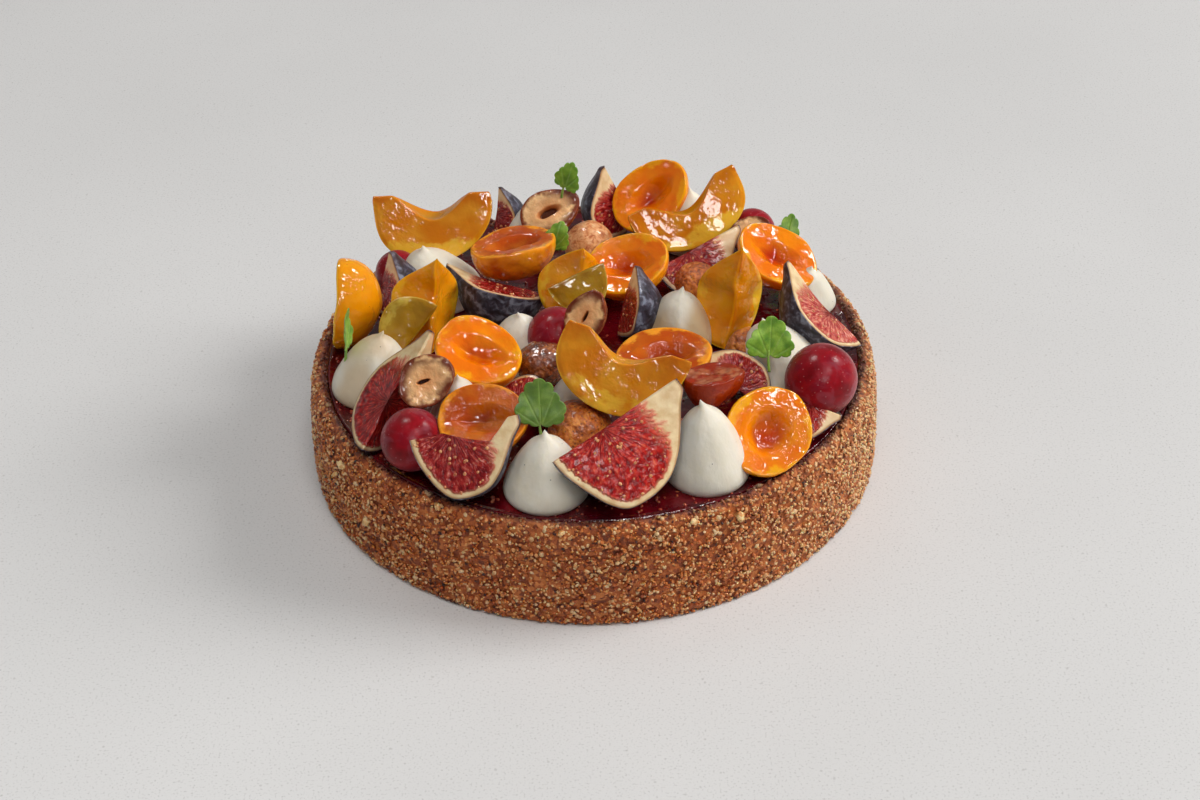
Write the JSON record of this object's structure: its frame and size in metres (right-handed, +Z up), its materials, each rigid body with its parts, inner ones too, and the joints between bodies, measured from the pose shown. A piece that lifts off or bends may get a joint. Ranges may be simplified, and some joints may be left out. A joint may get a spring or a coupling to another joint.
{
  "type": "fig and mirabelle plum tart",
  "caption": "Round crumb-coated tart with a red berry glaze, piled with cut plums and figs, grapes, cream kisses, hazelnuts, baked balls and herb leaves.",
  "frame": {"origin": "centre of the crust's flat base", "axes": "+Z up through the toppings; +X to the right and -Y towards someone who looks from the side with the big cut fig"},
  "size_m": [0.1602, 0.1604, 0.0644],
  "materials": {
    "crumb_crust": "coarse baked crumb with sugar and nut grains",
    "berry_glaze": "wet red jelly",
    "cream": "smooth whipped cream",
    "grape_skin": "red grape skin with a light bloom",
    "baked_ball": "porous baked dough",
    "fig": "cut fig with a pale rind and dark skin",
    "plum": "glazed yellow plum",
    "hazelnut": "cut roasted nut",
    "leaf": "fresh herb leaf"
  },
  "bodies": {
    "root": {"baked_ball_01": "baked_ball", "baked_ball_02": "baked_ball", "baked_ball_03": "baked_ball", "berry_glaze": "berry_glaze", "cream_01": "cream", "cream_02": "cream", "cream_03": "cream", "cream_04": "cream", "cream_05": "cream", "cream_06": "cream", "cream_07": "cream", "cream_08": "cream", "cream_09": "cream", "cream_10": "cream", "cream_11": "cream", "crust": "crumb_crust", "fig_wedge_01": "fig", "fig_wedge_02": "fig", "fig_wedge_03": "fig", "fig_wedge_04": "fig", "fig_wedge_05": "fig", "fig_wedge_06": "fig", "fig_wedge_07": "fig", "fig_wedge_08": "fig", "fig_wedge_09": "fig", "fig_wedge_10": "fig", "fig_wedge_11": "fig", "fig_wedge_12": "fig", "fig_wedge_13": "fig", "grape_01": "grape_skin", "grape_02": "grape_skin", "grape_03": "grape_skin", "grape_04": "grape_skin", "hazelnut_01": "hazelnut", "hazelnut_02": "hazelnut", "hazelnut_03": "hazelnut", "hazelnut_04": "hazelnut", "hazelnut_05": "hazelnut", "hazelnut_06": "hazelnut", "leaf_01": "leaf", "leaf_02": "leaf", "leaf_03": "leaf", "leaf_04": "leaf", "plum_half_01": "plum", "plum_half_02": "plum", "plum_half_03": "plum", "plum_half_04": "plum", "plum_half_05": "plum", "plum_half_06": "plum", "plum_half_07": "plum", "plum_half_08": "plum", "plum_half_09": "plum", "plum_slice_01": "plum", "plum_slice_02": "plum", "plum_slice_03": "plum", "plum_slice_04": "plum", "plum_slice_05": "plum", "plum_slice_06": "plum", "plum_slice_07": "plum", "plum_slice_08": "plum"}
  },
  "joints": []
}
